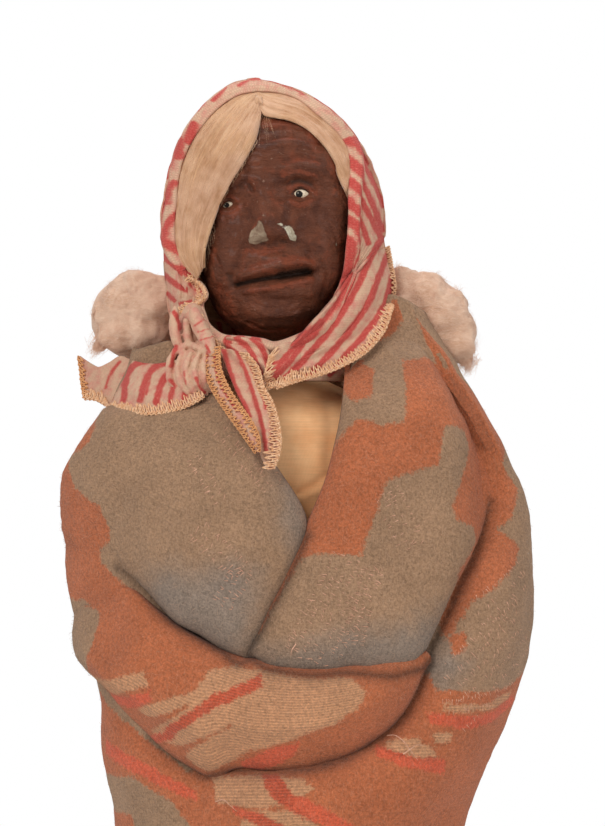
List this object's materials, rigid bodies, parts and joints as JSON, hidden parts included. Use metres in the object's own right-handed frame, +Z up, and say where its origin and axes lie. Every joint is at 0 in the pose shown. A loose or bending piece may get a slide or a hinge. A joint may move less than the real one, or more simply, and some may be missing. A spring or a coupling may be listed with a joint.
{
  "type": "doll",
  "caption": "Standing cloth doll with a dried-apple head, mohair hair, tied headscarf and a wrapped wool blanket.",
  "frame": {"origin": "midway between the doll's sides and between its front and back, on the surface it stands on", "axes": "+Z up, -Y the way the doll faces, +X to the viewer's right"},
  "size_m": [0.1779, 0.1123, 0.437],
  "materials": {
    "leather": "soft suede",
    "pine": "planed and bare",
    "felt": "matt felt",
    "steel": "drawn wire nail",
    "straw": "chopped straw",
    "sacking": "coarse cotton",
    "twine": "hemp",
    "muslin": "tea-dyed plain weave",
    "wool": "brushed wool, stepped stripes",
    "fleece": "carded fleece",
    "dried_apple": "dark, half gloss, worn on the raised parts",
    "bead": "painted bead",
    "mohair": "combed mohair",
    "striped_cotton": "cotton jersey, red and cream stripes"
  },
  "bodies": {
    "body": {"left_sole": "leather", "left_moccasin": "leather", "left_foot_block": "pine", "left_leg_dowel": "pine", "left_legging": "felt", "right_sole": "leather", "right_moccasin": "leather", "right_foot_block": "pine", "right_leg_dowel": "pine", "right_legging": "felt", "hip_board": "pine", "spine_dowel": "pine", "shoulder_lath": "pine", "lath_nail": "steel", "straw_stuffing": "straw", "torso_bag": "sacking", "neck_twine": "twine", "muslin_dress": "muslin", "blanket": "wool", "wadding_left": "fleece", "wadding_right": "fleece"},
    "head": {"apple_head": "dried_apple", "eye_left": "bead", "eye_right": "bead", "mohair_wig": "mohair", "scarf_hood": "striped_cotton", "scarf_knot": "striped_cotton", "scarf_side_tail": "striped_cotton", "scarf_narrow_tail": "striped_cotton", "scarf_wide_tail": "striped_cotton"}
  },
  "joints": [
    {"name": "head_turn", "type": "hinge", "parent": "body", "child": "head", "pos_m": [-0.008, 0.0072, 0.362], "axis": [0, 0, 1], "range_deg": [-12, 12]}
  ]
}
